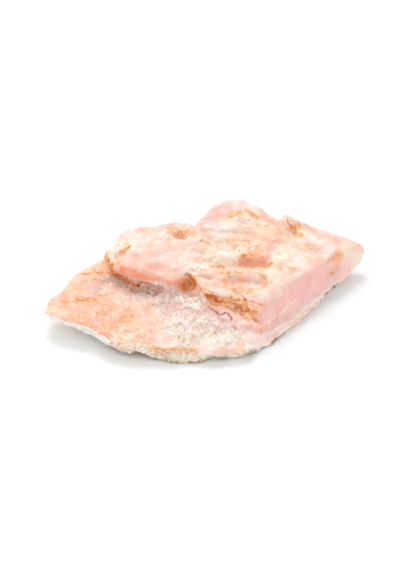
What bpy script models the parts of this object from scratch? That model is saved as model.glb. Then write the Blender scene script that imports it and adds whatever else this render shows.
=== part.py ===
"""Rough pink opal: one broken piece of stone, resting on a flat of its underside.

The stone is built the way it broke. Convex fracture blocks, each the hull of its corners, overlap and
are joined: the thin lower plate, the slab standing on its left, the block on its right, the ridge behind
and a thin flake. Scars, the hulls of what broke out, are cut from them: pits, pockets, gouges and round
conchoidal scoops. A voxel remesh makes one even skin of the result. Broken ground, wandering edges, low
bumps and thin lips are then pushed into that skin. What lies below the rest plane is brought up to it,
which leaves the flats that the stone rests on, and Decimate keeps the skin light.

X runs from the left tip to the right tip, -Y is the front, and the origin is the middle of the bounding
box, on the surface that the stone rests on. Corners and marks are in millimetres, as (x, y, z).
"""
import math

import bmesh
import bpy
import numpy as np

MM = 0.001

# Driving dimensions: the finished stone's bounding box.
LENGTH = 75.0 * MM
DEPTH = 46.0 * MM
HEIGHT = 15.1 * MM

# How fine the skin is.
SKIN_VOXEL = 0.48 * MM
SKIN_TRIANGLES = 9400
SOFTEN_FACTOR = 0.5
SOFTEN_BEFORE = 2
SOFTEN_AFTER = 1
REST_SNAP = 0.03 * MM
SCOOP_SUBDIVISIONS = 4

# Fracture blocks: the corners of each convex piece.
PLATE_TIP = (
    (-37.6, -9.0, 4.4), (-37.6, -8.9, 5.0), (-36.7, -10.5, 4.0), (-36.6, -10.5, 4.9),
    (-32.0, -11.2, 3.6), (-32.0, -11.2, 4.8), (-27.0, -14.4, 2.2), (-26.9, -14.4, 4.5),
    (-36.2, -4.6, 3.8), (-36.3, -4.1, 5.3), (-30.5, 2.7, 3.0), (-30.6, 3.2, 6.1),
    (-25.0, 8.3, 2.4), (-25.6, 9.4, 7.1), (-20.0, -12.0, 0.2), (-18.0, -12.0, 5.0),
    (-18.0, 2.0, 0.0), (-18.0, 2.0, 5.6),
)
PLATE = (
    (-27.3, -13.4, 2.3), (-27.2, -13.3, 4.6), (-24.2, -16.7, 1.8), (-24.1, -16.8, 4.4),
    (-21.8, -18.4, 2.0), (-21.5, -19.3, 4.2), (-18.2, -19.4, 1.9), (-18.7, -20.7, 4.0),
    (-12.6, -21.3, 0.7), (-12.4, -20.7, 3.4), (-6.4, -22.9, 0.2), (-4.2, -23.2, 0.2), (-5.0, -22.0, 3.0),
    (1.0, -21.0, 1.0), (1.6, -22.2, 2.6), (4.6, -21.0, 0.6), (8.2, -19.0, 1.0), (8.5, -20.6, 2.6),
    (12.6, -17.4, 0.4), (12.0, -17.4, 2.6), (14.0, -14.0, 3.4), (-14.0, -16.0, -0.15),
    (-8.0, -19.8, -0.15), (4.0, -19.6, -0.15), (11.0, -15.5, -0.15), (-25.0, 4.0, 6.2),
    (-20.0, 10.0, 1.0), (-8.0, 14.0, -0.15), (-18.0, 0.0, -0.15), (-22.0, 6.0, 6.2),
    (-12.2, -2.2, 5.7), (-6.0, -3.6, 5.7), (-0.5, -7.0, 5.2), (9.0, -13.5, 4.5),
    (10.0, 10.0, -0.15), (10.0, 10.0, 4.0),
)
LEFT_SLAB = (
    (-21.0, 13.2, 10.3), (-19.2, 14.4, 11.5), (-14.9, 14.7, 12.8), (-10.3, 14.6, 13.2),
    (-6.0, 15.1, 13.8), (-3.4, 14.6, 13.5), (0.5, 11.0, 11.6), (-22.8, 10.6, 8.5),
    (-21.9, 6.0, 9.0), (-21.2, 4.4, 9.3), (-19.2, 2.2, 9.7), (-16.4, 0.6, 10.0),
    (-13.3, -0.6, 10.0), (-10.8, -1.8, 9.7), (-8.7, -2.8, 9.4), (-6.5, -3.4, 9.1),
    (-21.4, 3.8, 7.6), (-18.5, 1.0, 7.3), (-15.2, -0.5, 7.1), (-12.2, -1.6, 7.0),
    (-9.1, -3.4, 6.7), (-6.9, -4.0, 6.7), (-5.6, -3.0, 9.1), (-4.4, -1.4, 9.6),
    (-3.6, -0.2, 10.0), (-5.0, -1.6, 6.9), (-22.6, 10.0, 7.2), (-21.0, 14.4, 5.0),
    (-15.0, 16.6, 4.0), (-4.0, 17.4, 4.0), (2.0, 8.0, 7.0),
)
SLAB_ROOT = (
    (-21.6, 8.8, 3.0), (-21.4, 8.6, 8.0), (-18.6, 5.6, 3.0), (-18.4, 5.2, 8.0),
    (-14.8, 3.6, 3.0), (-14.6, 3.2, 8.0), (-11.2, 1.2, 3.0), (-11.2, 0.6, 7.6),
    (-9.0, -2.3, 3.0), (-9.0, -2.6, 7.4), (-7.0, -3.2, 3.0), (-6.9, -3.4, 7.2),
    (-5.0, -0.9, 3.0), (-4.9, -0.9, 7.4), (2.0, 2.0, 3.0), (2.0, 2.0, 8.0),
    (-20.8, 14.0, 0.8), (-20.8, 13.6, 8.0), (-3.0, 17.8, 0.4), (-3.0, 17.0, 8.0),
    (-12.0, 17.2, 0.6), (-8.0, 12.0, -0.15), (2.0, 16.0, -0.15),
)
SLAB_END = (
    (-24.9, 7.8, 6.9), (-24.0, 9.2, 8.0), (-22.8, 10.8, 8.7), (-24.2, 8.8, 2.0),
    (-22.2, 12.6, 1.4), (-22.4, 8.4, 8.9), (-20.0, 14.2, 1.2), (-22.6, 6.4, 7.0),
    (-21.6, 6.0, 8.2), (-22.9, 5.6, 5.8), (-20.0, 8.0, 8.4), (-22.9, 5.6, 2.0), (-20.0, 8.0, 1.0),
)
RIGHT_BLOCK = (
    (-1.5, -5.6, 8.2), (0.1, -6.4, 8.2), (3.4, -6.9, 8.2), (6.3, -8.0, 7.9), (9.7, -9.3, 7.7),
    (12.4, -10.5, 7.5), (14.3, -8.7, 8.2), (21.5, -0.4, 8.6), (26.4, 5.2, 8.5),
    (30.3, 10.5, 8.3), (33.0, 12.4, 7.8), (35.6, 13.8, 7.0), (12.4, -12.2, 6.5),
    (11.9, -14.0, 5.0), (8.5, -12.5, 5.0), (5.4, -11.2, 5.1), (2.9, -9.4, 5.4),
    (-0.1, -7.8, 5.7), (-1.2, -6.7, 5.8), (-2.6, -3.4, 8.9), (-4.0, -1.2, 9.6),
    (-3.6, 3.0, 10.2), (-2.0, 14.0, 10.8), (-0.9, -6.0, 4.0), (-2.6, -2.6, 4.0),
    (12.0, 8.0, 10.4), (11.0, -16.6, 2.8), (12.8, -17.3, 0.3), (15.1, -15.5, 0.3),
    (16.6, -13.1, 0.4), (19.1, -8.7, 0.6), (26.3, 0.7, 0.8), (30.1, 5.7, 1.1),
    (33.6, 9.9, 1.7), (35.0, 11.9, 2.6), (36.9, 13.1, 3.6), (37.8, 14.5, 5.0),
    (36.9, 15.5, 7.2), (31.4, 17.0, 8.8), (27.3, 17.0, 9.3), (23.4, 18.0, 10.9),
    (16.0, 18.8, 11.4), (4.0, 20.0, 11.4), (35.4, 16.0, 3.6), (29.0, 17.0, 2.0),
    (20.0, 18.8, 1.4), (8.0, 21.2, 1.4), (-2.0, 18.4, 1.4), (13.0, -13.0, -0.15),
    (17.6, -7.4, -0.15), (24.6, 1.6, -0.15), (29.0, 8.0, -0.15), (26.0, 14.0, -0.15),
    (8.0, 18.5, -0.15),
)
CRUMBLY_STEP = (
    (7.2, 5.0, 11.1), (9.0, 3.9, 10.8), (10.9, 3.6, 10.7), (13.7, 4.1, 10.6), (14.6, 5.2, 10.6),
    (14.0, 10.0, 11.2), (8.0, 10.6, 11.6), (6.6, 6.0, 11.4), (7.2, 5.0, 8.0), (10.9, 3.8, 8.0),
    (14.2, 4.6, 8.0), (11.0, 14.0, 9.0),
)
PALE_LUMP = (
    (0.2, 3.8, 10.2), (1.2, 4.8, 11.2), (3.6, 5.6, 11.7), (6.2, 5.0, 11.5), (7.3, 3.6, 10.8),
    (6.6, 2.0, 9.8), (3.8, 1.2, 9.8), (1.2, 2.0, 9.9), (3.4, 3.2, 11.7), (5.4, 3.2, 11.5),
    (3.8, 3.4, 8.0),
)
BACK_RIDGE = (
    (-3.0, 19.0, 10.0), (0.2, 21.3, 12.1), (3.9, 22.7, 14.1), (5.8, 22.9, 14.8),
    (8.0, 22.9, 15.2), (9.4, 22.4, 14.7), (12.7, 21.2, 12.8), (16.0, 19.5, 11.8),
    (3.0, 21.0, 14.4), (7.6, 20.4, 14.9), (-3.0, 13.0, 10.8), (6.0, 9.0, 11.2),
    (14.0, 9.5, 10.9), (19.0, 12.0, 10.8), (21.0, 16.0, 10.8), (12.0, 15.0, 12.3),
    (-3.0, 18.2, 3.0), (2.0, 21.4, 3.0), (8.0, 22.6, 3.0), (14.0, 20.4, 3.0), (20.0, 18.0, 3.0),
)
RIDGE_BAND = (
    (3.4, 16.0, 12.8), (7.0, 17.8, 13.9), (9.4, 19.4, 14.4), (11.4, 18.8, 13.8), (13.6, 17.4, 12.7),
    (12.8, 16.6, 12.6), (9.4, 17.6, 13.5), (6.6, 16.0, 13.0), (4.4, 14.8, 12.2), (8.0, 17.0, 9.0),
)
CHIP = (
    (17.4, 18.2, 12.2), (19.0, 18.9, 13.5), (20.4, 18.4, 13.3), (21.8, 17.4, 12.4), (19.5, 15.9, 12.0),
    (18.0, 16.9, 11.8), (19.5, 16.4, 9.0), (17.8, 18.0, 9.0), (21.2, 17.6, 9.0),
)
CHIP_TAIL = (
    (20.4, 18.2, 12.8), (22.2, 17.8, 12.1), (23.6, 17.4, 11.7), (25.1, 16.8, 10.9), (22.0, 16.2, 11.1),
    (24.4, 15.6, 10.2), (20.4, 16.8, 11.4), (20.4, 18.0, 9.0), (25.1, 16.8, 8.6), (22.0, 16.0, 9.0),
)
FLAKE = (
    (-1.4, -6.6, 5.6), (0.1, -9.0, 5.5), (2.1, -10.2, 5.45), (3.9, -10.8, 5.4), (4.9, -11.9, 5.35),
    (5.7, -13.2, 5.2), (7.4, -14.2, 5.1), (11.4, -14.9, 4.9), (12.0, -12.0, 5.2), (0.4, -8.6, 4.2),
    (4.0, -10.4, 4.0), (5.8, -12.8, 3.8), (11.4, -14.8, 3.2), (-1.0, -6.2, 4.2), (12.0, -10.0, 4.0),
)
BLOCKS = {
    "plate_tip": PLATE_TIP,
    "plate": PLATE,
    "left_slab": LEFT_SLAB,
    "slab_root": SLAB_ROOT,
    "slab_end": SLAB_END,
    "right_block": RIGHT_BLOCK,
    "crumbly_step": CRUMBLY_STEP,
    "pale_lump": PALE_LUMP,
    "back_ridge": BACK_RIDGE,
    "ridge_band": RIDGE_BAND,
    "chip": CHIP,
    "chip_tail": CHIP_TAIL,
    "flake": FLAKE,
}

# Scars: the corners of each convex piece that broke out.
NOTCH = (
    (-4.4, -0.7, 12.0), (-6.6, -3.6, 12.0), (-1.2, -5.0, 12.0), (-4.2, 0.2, 5.9),
    (-7.2, -3.0, 5.9), (-0.8, -4.9, 5.9), (-6.0, -9.0, 12.0), (-2.0, -9.0, 12.0),
    (-5.4, -8.0, 6.0), (-1.6, -8.0, 6.0), (-3.4, -0.8, 7.4),
)
LEFT_HOLLOW = (
    (-24.4, 5.4, 12.0), (-22.9, 8.6, 12.0), (-22.1, 6.6, 12.0), (-22.2, 3.0, 12.0),
    (-23.9, 6.2, 7.0), (-22.9, 7.8, 7.2), (-22.6, 4.0, 6.0),
)
SLAB_PIT = (
    (-8.2, 9.8, 15.0), (-8.1, 11.8, 15.0), (-6.1, 12.7, 15.0), (-4.0, 11.8, 15.0),
    (-4.2, 9.4, 15.0), (-7.4, 11.4, 11.5), (-6.0, 12.0, 11.4), (-4.8, 11.4, 11.5),
    (-6.4, 10.4, 11.6), (-8.0, 9.6, 12.2), (-4.4, 9.2, 12.3),
)
STEP_FLOOR = (
    (7.2, 5.0, 13.0), (9.0, 3.8, 13.0), (10.9, 3.5, 13.0), (13.8, 4.0, 13.0), (16.4, 4.9, 13.0),
    (17.0, 3.8, 13.0), (6.6, 1.4, 13.0), (9.6, -0.2, 13.0), (13.4, -0.9, 13.0), (15.8, 1.0, 13.0),
    (7.4, 4.2, 8.9), (9.2, 3.6, 8.7), (12.6, 3.6, 8.7), (15.6, 4.0, 9.1), (7.4, 1.6, 9.1),
    (10.0, 0.4, 9.0), (13.2, 0.0, 8.9), (15.0, 1.6, 9.2),
)
FRONT_POCKET = (
    (1.6, -2.8, 13.0), (4.6, -1.3, 13.0), (8.9, -0.9, 13.0), (13.0, -1.3, 13.0), (14.8, -3.4, 13.0),
    (15.2, -5.4, 13.0), (2.4, -4.9, 13.0), (8.0, -5.9, 13.0), (13.2, -6.7, 13.0), (3.4, -3.0, 8.3),
    (5.4, -2.1, 7.9), (9.0, -1.8, 7.7), (12.8, -2.2, 7.5), (14.0, -3.8, 7.4), (14.2, -5.0, 7.5),
    (4.0, -4.4, 8.2), (8.0, -5.2, 7.9), (13.0, -6.0, 7.8),
)
SPLINTERED_FRONT = (
    (-1.4, -6.4, 8.2), (0.1, -7.1, 8.0), (3.6, -7.4, 8.2), (5.6, -8.2, 7.9), (8.6, -9.9, 7.6),
    (9.7, -11.2, 7.0), (11.0, -12.7, 6.2), (11.5, -13.8, 5.4), (0.6, -6.1, 6.4), (3.4, -6.4, 6.2),
    (5.6, -7.4, 6.1), (8.2, -9.2, 5.9), (10.2, -11.4, 5.7), (0.0, -7.4, 5.7), (3.0, -8.4, 5.6),
    (6.0, -10.8, 5.4), (8.4, -11.9, 5.3), (10.8, -13.4, 5.2), (0.0, -10.0, 8.0), (6.0, -13.0, 8.0),
    (11.0, -15.0, 7.0),
)
UPPER_GOUGE = (
    (28.8, 6.3, 8.0), (29.4, 8.6, 8.6), (31.8, 11.4, 8.1), (30.0, 7.0, 7.1), (31.2, 8.9, 7.2),
    (30.4, 5.4, 9.0), (31.2, 7.6, 9.6), (33.4, 10.4, 9.0), (31.6, 6.0, 8.0), (32.8, 7.8, 8.2),
    (28.4, 8.8, 7.3), (29.8, 10.4, 7.1), (28.2, 7.2, 7.0),
)
LOWER_GOUGE = (
    (28.9, 4.4, 6.0), (29.5, 6.2, 6.7), (32.2, 9.2, 6.0), (29.8, 4.9, 4.8), (31.4, 7.2, 4.8),
    (30.5, 3.4, 6.8), (31.2, 5.2, 7.6), (34.0, 8.2, 6.8), (31.6, 3.8, 5.6), (33.2, 6.2, 5.6),
    (28.1, 6.2, 5.2), (30.0, 8.4, 5.0), (28.2, 5.2, 5.0),
)
CHIP_SHADOW = (
    (19.6, 15.4, 14.0), (20.8, 16.6, 14.0), (23.4, 17.0, 14.0), (23.0, 15.2, 14.0), (20.2, 15.9, 10.2),
    (21.2, 16.6, 9.9), (22.8, 16.2, 10.0),
)
RIM_NOTCH = (
    (-18.6, -24.0, -1.0), (-13.2, -24.0, -1.0), (-16.6, -17.4, -1.0), (-14.6, -17.4, -1.0),
    (-17.6, -24.0, 2.4), (-14.4, -24.0, 2.8), (-16.4, -18.4, 1.5), (-14.8, -18.4, 1.8),
)
SCARS = {
    "notch": NOTCH,
    "left_hollow": LEFT_HOLLOW,
    "slab_pit": SLAB_PIT,
    "step_floor": STEP_FLOOR,
    "front_pocket": FRONT_POCKET,
    "splintered_front": SPLINTERED_FRONT,
    "upper_gouge": UPPER_GOUGE,
    "lower_gouge": LOWER_GOUGE,
    "chip_shadow": CHIP_SHADOW,
    "rim_notch": RIM_NOTCH,
}

# Conchoidal scars: the shallow round hollows that opal breaks into, as a centre and a radius.
SCOOPS = {
    "back_left_scoop": ((-14.0, 25.6, 8.4), 10.0),
    "back_middle_scoop": ((-1.0, 27.0, 6.0), 8.4),
    "back_right_scoop": ((18.0, 29.6, 5.6), 11.6),
    "back_tip_scoop": ((29.6, 25.4, 3.0), 9.6),
    "plate_back_scoop": ((-36.0, 9.6, -1.0), 9.6),
    "front_rim_scoop": ((-15.8, -23.2, 0.6), 3.4),
    "tip_rim_scoop": ((-32.0, -13.4, -2.0), 6.0),
    "right_rim_scoop": ((1.4, -23.2, -0.5), 3.0),
    "plate_under_scoop": ((-27.0, -6.0, -9.8), 11.8),
    "right_under_scoop": ((29.6, 3.4, -3.4), 4.4),
    "left_rest_scoop": ((-11.0, -8.0, -24.4), 25.4),
    "right_rest_scoop": ((13.0, 6.0, -17.4), 18.1),
}

# Marks: centre, half sizes along and across, turn of the long side from +X in degrees, the direction
# that it faces, and how far the skin moves along that direction, in millimetres; a press is below zero.
MARK_DEPTH = 3.0
UP = (0.0, 0.0, 1.0)
MARKS = (
    ((-13.5, 5.0, 11.0), (7.0, 5.0), -15.0, UP, 0.5),
    ((-19.8, 6.0, 9.4), (1.6, 2.2), 80.0, UP, -0.7),
    ((0.0, -1.6, 9.4), (2.2, 0.9), -20.0, UP, -0.8),
    ((16.6, 8.4, 10.6), (2.2, 3.0), -20.0, UP, -0.15),
    ((18.6, 5.0, 9.9), (4.6, 1.4), 50.0, UP, 0.5),
    ((20.6, 15.0, 10.6), (2.4, 1.0), -20.0, UP, -0.5),
    ((5.0, 13.2, 11.8), (6.0, 0.8), -8.0, UP, -0.5),
    ((25.0, 9.6, 9.2), (3.4, 2.0), -30.0, UP, -0.4),
)

# Lips: points along a thin raised edge, its half width and its height.
LIPS = (
    (((11.4, -14.8, 4.2), (14.9, -10.9, 4.2), (18.3, -6.3, 4.4), (21.5, -2.9, 4.3)), 0.5, 0.5),
    (((9.6, -17.6, 2.4), (15.4, -13.0, 1.9), (20.4, -5.8, 1.9), (26.0, 1.4, 2.2)), 0.45, 0.3),
    (((31.4, 7.0, 3.0), (34.2, 10.4, 3.4), (36.9, 13.1, 3.9)), 0.5, 0.35),
    (((-37.2, -9.8, 5.0), (-31.8, -12.0, 4.8), (-26.8, -14.2, 4.6), (-21.6, -19.0, 4.2)), 0.8, 0.3),
    (((-21.8, 8.6, 8.8), (-21.7, 6.2, 8.8), (-21.6, 4.4, 8.2)), 0.45, 0.5),
    (((1.2, -7.0, 6.6), (4.6, -8.4, 6.5), (8.6, -10.8, 6.2), (10.6, -12.6, 5.8)), 0.3, 0.5),
    (((2.6, -7.9, 5.8), (5.2, -9.8, 5.7), (9.4, -12.2, 5.5)), 0.3, 0.4),
)

# Broken ground: size of the lumps along X, Y and Z, turn about Z in degrees, height and seed.
GROUND = (
    ((8.0, 7.0, 5.0), -20.0, 0.34, 11),
    ((4.2, 3.0, 2.6), -30.0, 0.24, 12),
    ((2.0, 1.6, 1.5), -30.0, 0.22, 13),
)
LATTICE = 32

# The long clean face on the right: its outward direction, how squarely the skin must face that way to
# start and to finish counting as it, where it begins along X, and how much of the ground it keeps.
SMOOTH_FACE = (0.74, -0.59, 0.33)
SMOOTH_FACE_FACING = (0.5, 0.9)
SMOOTH_FACE_FROM_X = 11.0
SMOOTH_FACE_GROUND = 0.35

# Wandering edges: the size of the bends, how far they move a point along each axis, and the first seed.
WANDER = (
    (4.2, (0.50, 0.50, 0.20), 21),
    (1.9, (0.24, 0.24, 0.12), 31),
)


def clear_scene():
    for thing in list(bpy.data.objects):
        bpy.data.objects.remove(thing, do_unlink=True)


def collection_named(name, hidden=False):
    """A new collection in the scene; a hidden one holds what is joined into the stone."""
    made = bpy.data.collections.new(name)
    bpy.context.scene.collection.children.link(made)
    made.hide_render = hidden
    return made


def hull_object(name, corners, collection):
    """A closed convex block around its corners."""
    mesh = bpy.data.meshes.new(name)
    shape = bmesh.new()
    for corner in corners:
        shape.verts.new([value * MM for value in corner])
    hull = bmesh.ops.convex_hull(shape, input=shape.verts)
    inside = [part for part in hull["geom_interior"] if isinstance(part, bmesh.types.BMVert)]
    bmesh.ops.delete(shape, geom=inside, context="VERTS")
    bmesh.ops.recalc_face_normals(shape, faces=shape.faces)
    shape.to_mesh(mesh)
    shape.free()
    block = bpy.data.objects.new(name, mesh)
    block.hide_render = True
    block.display_type = "WIRE"
    collection.objects.link(block)
    return block


def scoop_object(name, centre, radius, collection):
    """A ball that bites a shallow conchoidal scar."""
    mesh = bpy.data.meshes.new(name)
    shape = bmesh.new()
    bmesh.ops.create_icosphere(shape, subdivisions=SCOOP_SUBDIVISIONS, radius=radius * MM)
    shape.to_mesh(mesh)
    shape.free()
    scoop = bpy.data.objects.new(name, mesh)
    scoop.location = [value * MM for value in centre]
    scoop.hide_render = True
    scoop.display_type = "WIRE"
    collection.objects.link(scoop)
    return scoop


def combine(stone, block, operation):
    step = stone.modifiers.new(operation.lower() + " " + block.name, "BOOLEAN")
    step.operation = operation
    step.object = block


def applied_mesh(thing):
    """The mesh that an object's modifiers make."""
    graph = bpy.context.evaluated_depsgraph_get()
    return bpy.data.meshes.new_from_object(thing.evaluated_get(graph), depsgraph=graph)


def replace_mesh(thing):
    """Applies every modifier of an object."""
    mesh = applied_mesh(thing)
    thing.modifiers.clear()
    thing.data = mesh


def skin_arrays(mesh):
    """The skin's points and outward normals, in millimetres and unit lengths."""
    points = np.empty(len(mesh.vertices) * 3)
    normals = np.empty(len(mesh.vertices) * 3)
    mesh.vertices.foreach_get("co", points)
    mesh.vertices.foreach_get("normal", normals)
    return points.reshape(-1, 3) / MM, normals.reshape(-1, 3)


def set_skin(mesh, points):
    mesh.vertices.foreach_set("co", (points * MM).ravel())
    mesh.update()


def turned(degrees):
    """A rotation about Z, as rows that carry points into the turned frame."""
    angle = math.radians(degrees)
    return np.array([
        [math.cos(angle), math.sin(angle), 0.0],
        [-math.sin(angle), math.cos(angle), 0.0],
        [0.0, 0.0, 1.0],
    ])


def lattice_noise(points, sizes, seed):
    """Smooth values between -1 and 1: a seeded lattice of random numbers, blended between its corners."""
    lattice = np.random.default_rng(seed).uniform(-1.0, 1.0, (LATTICE, LATTICE, LATTICE))
    place = points / np.array(sizes)
    cell = np.floor(place).astype(int)
    blend = place - cell
    blend = blend * blend * (3.0 - 2.0 * blend)
    total = np.zeros(len(points))
    for corner in np.ndindex(2, 2, 2):
        weight = np.prod(np.where(corner, blend, 1.0 - blend), axis=1)
        index = (cell + corner) % LATTICE
        total += weight * lattice[index[:, 0], index[:, 1], index[:, 2]]
    return total


def mark_push(points, normals, mark):
    """How far a mark moves each point along the mark's direction: a rounded bump or hollow."""
    centre, half_sizes, turn, direction, height = mark
    out = np.array(direction) / np.linalg.norm(direction)
    along = turned(turn)[0]
    along = along - out * (along @ out)
    along /= np.linalg.norm(along)
    across = np.cross(out, along)
    from_centre = points - np.array(centre)
    reach = np.hypot(from_centre @ along / half_sizes[0], from_centre @ across / half_sizes[1])
    depth = from_centre @ out / MARK_DEPTH
    shape = np.clip(1.0 - reach**2, 0.0, 1.0) * np.clip(1.0 - depth**2, 0.0, 1.0)
    facing = np.clip(normals @ out, 0.0, 1.0)
    return np.outer(height * shape * facing, out)


def distance_to_line(points, line):
    """How far each point is from a chain of straight pieces."""
    nearest = np.full(len(points), np.inf)
    for start, end in zip(np.array(line[:-1]), np.array(line[1:])):
        run = end - start
        along = np.clip((points - start) @ run / (run @ run), 0.0, 1.0)
        nearest = np.minimum(nearest, np.linalg.norm(points - start - np.outer(along, run), axis=1))
    return nearest


def lip_push(points, normals, lip):
    """A thin lip: raised along its line, falling off over its half width."""
    line, half_width, height = lip
    near = np.exp(-((distance_to_line(points, line) / half_width) ** 2))
    return normals * (height * near)[:, None]


def ground_push(points, normals):
    """Broken ground: lumps at three sizes, drawn out along the way the stone split."""
    total = np.zeros(len(points))
    for sizes, turn, height, seed in GROUND:
        total += height * lattice_noise(points @ turned(turn).T, sizes, seed)
    start, finish = SMOOTH_FACE_FACING
    facing = np.clip((normals @ np.array(SMOOTH_FACE) - start) / (finish - start), 0.0, 1.0)
    along = np.clip(points[:, 0] - SMOOTH_FACE_FROM_X, 0.0, 1.0)
    total *= 1.0 - (1.0 - SMOOTH_FACE_GROUND) * facing * along
    return normals * total[:, None]


def wander_push(points):
    """Bends straight edges sideways, so that no outline stays a ruled line."""
    push = np.zeros(points.shape)
    for size, reach, seed in WANDER:
        for axis in range(3):
            push[:, axis] += reach[axis] * lattice_noise(points, (size, size, size), seed + axis)
    return push


def sculpt(mesh):
    points, normals = skin_arrays(mesh)
    moved = points + ground_push(points, normals) + wander_push(points)
    for mark in MARKS:
        moved += mark_push(points, normals, mark)
    for lip in LIPS:
        moved += lip_push(points, normals, lip)
    set_skin(mesh, moved)


def press_flat_underside(mesh):
    """Brings what lies below the rest plane up to it, which leaves flats to rest on."""
    points, _ = skin_arrays(mesh)
    points[:, 2] = np.maximum(points[:, 2], 0.0)
    set_skin(mesh, points)


def soften(stone, iterations):
    """Rounds the skin's steps and spikes."""
    smooth = stone.modifiers.new("soften", "SMOOTH")
    smooth.factor = SOFTEN_FACTOR
    smooth.iterations = iterations


def fit_to_size(mesh):
    """Brings the bounding box to the driving dimensions, its bottom middle at the origin."""
    points, _ = skin_arrays(mesh)
    low, high = points.min(axis=0), points.max(axis=0)
    scale = np.array([LENGTH, DEPTH, HEIGHT]) / MM / (high - low)
    middle = np.array([(low[0] + high[0]) / 2, (low[1] + high[1]) / 2, low[2]])
    fitted = (points - middle) * scale
    fitted[:, 2] = np.where(fitted[:, 2] < REST_SNAP / MM, 0.0, fitted[:, 2])
    set_skin(mesh, fitted)
    print("before fitting, mm:", np.round(high - low, 2), "scaled by", np.round(scale, 3))


def opal_material():
    material = bpy.data.materials.new("pink_opal")
    material.use_nodes = True
    surface = material.node_tree.nodes["Principled BSDF"]
    surface.inputs["Base Color"].default_value = (0.87, 0.56, 0.47, 1.0)
    surface.inputs["Roughness"].default_value = 0.45
    surface.inputs["Metallic"].default_value = 0.0
    return material


def build_stone(stone_parts, fracture_blocks):
    """The blocks joined, scarred, skinned, sculpted, pressed flat underneath and thinned."""
    blocks = [hull_object(name, corners, fracture_blocks) for name, corners in BLOCKS.items()]
    stone = bpy.data.objects.new("rough_pink_opal", blocks[0].data.copy())
    stone_parts.objects.link(stone)
    for block in blocks[1:]:
        combine(stone, block, "UNION")
    for name, corners in SCARS.items():
        combine(stone, hull_object(name, corners, fracture_blocks), "DIFFERENCE")
    for name, (centre, radius) in SCOOPS.items():
        combine(stone, scoop_object(name, centre, radius, fracture_blocks), "DIFFERENCE")
    skin = stone.modifiers.new("skin", "REMESH")
    skin.mode = "VOXEL"
    skin.voxel_size = SKIN_VOXEL
    soften(stone, SOFTEN_BEFORE)
    replace_mesh(stone)
    print("skin faces:", len(stone.data.polygons))
    sculpt(stone.data)
    soften(stone, SOFTEN_AFTER)
    replace_mesh(stone)
    press_flat_underside(stone.data)
    thin = stone.modifiers.new("thin", "DECIMATE")
    thin.ratio = SKIN_TRIANGLES / (2 * len(stone.data.polygons))
    replace_mesh(stone)
    fit_to_size(stone.data)
    stone.data.materials.clear()
    stone.data.materials.append(opal_material())
    return stone


def main():
    clear_scene()
    stone_parts = collection_named("rough pink opal")
    fracture_blocks = collection_named("fracture blocks", hidden=True)
    build_stone(stone_parts, fracture_blocks)


main()
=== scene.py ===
# %% [markdown]
# # A rough piece of pink opal
# Pink opal is dug out as broken lumps. The clean breaks are waxy and milky, the weathered skin is a
# crumbly crust of cream, lavender and rust. This lesson dresses one such lump, 75 mm long. The CAD
# solid gives its shape, and everything below is its surface and its light. Lengths are in
# millimetres and turn into metres where Blender gets them.

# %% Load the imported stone
import math

import bmesh
import bpy
import numpy as np
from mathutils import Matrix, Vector


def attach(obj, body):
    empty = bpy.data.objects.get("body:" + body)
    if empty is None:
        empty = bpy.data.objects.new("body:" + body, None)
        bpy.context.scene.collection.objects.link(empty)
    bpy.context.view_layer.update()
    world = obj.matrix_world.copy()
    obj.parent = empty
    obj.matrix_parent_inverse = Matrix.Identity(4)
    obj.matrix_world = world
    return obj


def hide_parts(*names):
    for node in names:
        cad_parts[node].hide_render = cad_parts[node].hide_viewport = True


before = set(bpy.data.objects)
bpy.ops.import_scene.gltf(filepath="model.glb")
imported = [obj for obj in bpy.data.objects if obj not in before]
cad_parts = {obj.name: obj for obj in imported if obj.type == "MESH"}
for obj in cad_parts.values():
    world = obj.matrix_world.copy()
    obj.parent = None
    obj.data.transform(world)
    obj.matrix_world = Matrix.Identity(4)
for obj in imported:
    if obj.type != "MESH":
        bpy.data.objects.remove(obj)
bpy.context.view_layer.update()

MM = 0.001
STONE_NODE = "rough_pink_opal"
BODY = "root"
scene = bpy.context.scene


def add_object(name, data):
    """A new object with this data, linked into the scene."""
    thing = bpy.data.objects.new(name, data)
    scene.collection.objects.link(thing)
    return thing


# %% [markdown]
# ## The camera
# A stone is looked at from a little above, as it lies on a table, and a long lens from some way off
# keeps its outline true. The lens follows from how wide the stone sits in the frame: its 75 mm take
# 322 pixels. The small sideways shift only centres the stone.

# %% Place the camera
PICTURE_HEIGHT = 570
STONE_PIXELS = 322
STONE_LENGTH = 75.0
CAMERA_ELEVATION = 35.0
CAMERA_DISTANCE = 420.0
CAMERA_TARGET = (-0.8, -0.75, 6.0)
SENSOR = 36.0
SHIFT_PIXELS = 4
NEAREST_SEEN = 0.01


def place_camera():
    """The lens in mm is distance / (mm per pixel) / picture height, times the sensor's height."""
    camera = bpy.data.cameras.new("camera")
    camera.sensor_fit = "VERTICAL"
    camera.sensor_height = SENSOR
    camera.lens = CAMERA_DISTANCE / (STONE_LENGTH / STONE_PIXELS) / PICTURE_HEIGHT * SENSOR
    camera.shift_x = -SHIFT_PIXELS / PICTURE_HEIGHT
    camera.clip_start = NEAREST_SEEN
    camera.dof.use_dof = False
    tilt = math.radians(CAMERA_ELEVATION)
    back = Vector((0.0, -math.cos(tilt), math.sin(tilt)))
    scene.camera = add_object("camera", camera)
    scene.camera.location = (Vector(CAMERA_TARGET) + back * CAMERA_DISTANCE) * MM
    scene.camera.rotation_euler = back.to_track_quat("Z", "Y").to_euler()
    return camera


print("lens, mm:", round(place_camera().lens, 1))

# %% [markdown]
# ## A finer skin
# The CAD solid has flat triangles about a millimetre wide, which show as facets up close. So they are
# merged, a voxel remesh lays an even skin of small quads over them, and a few rounds of smoothing
# take the facets away. The relief that comes later moves this skin's points.

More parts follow.
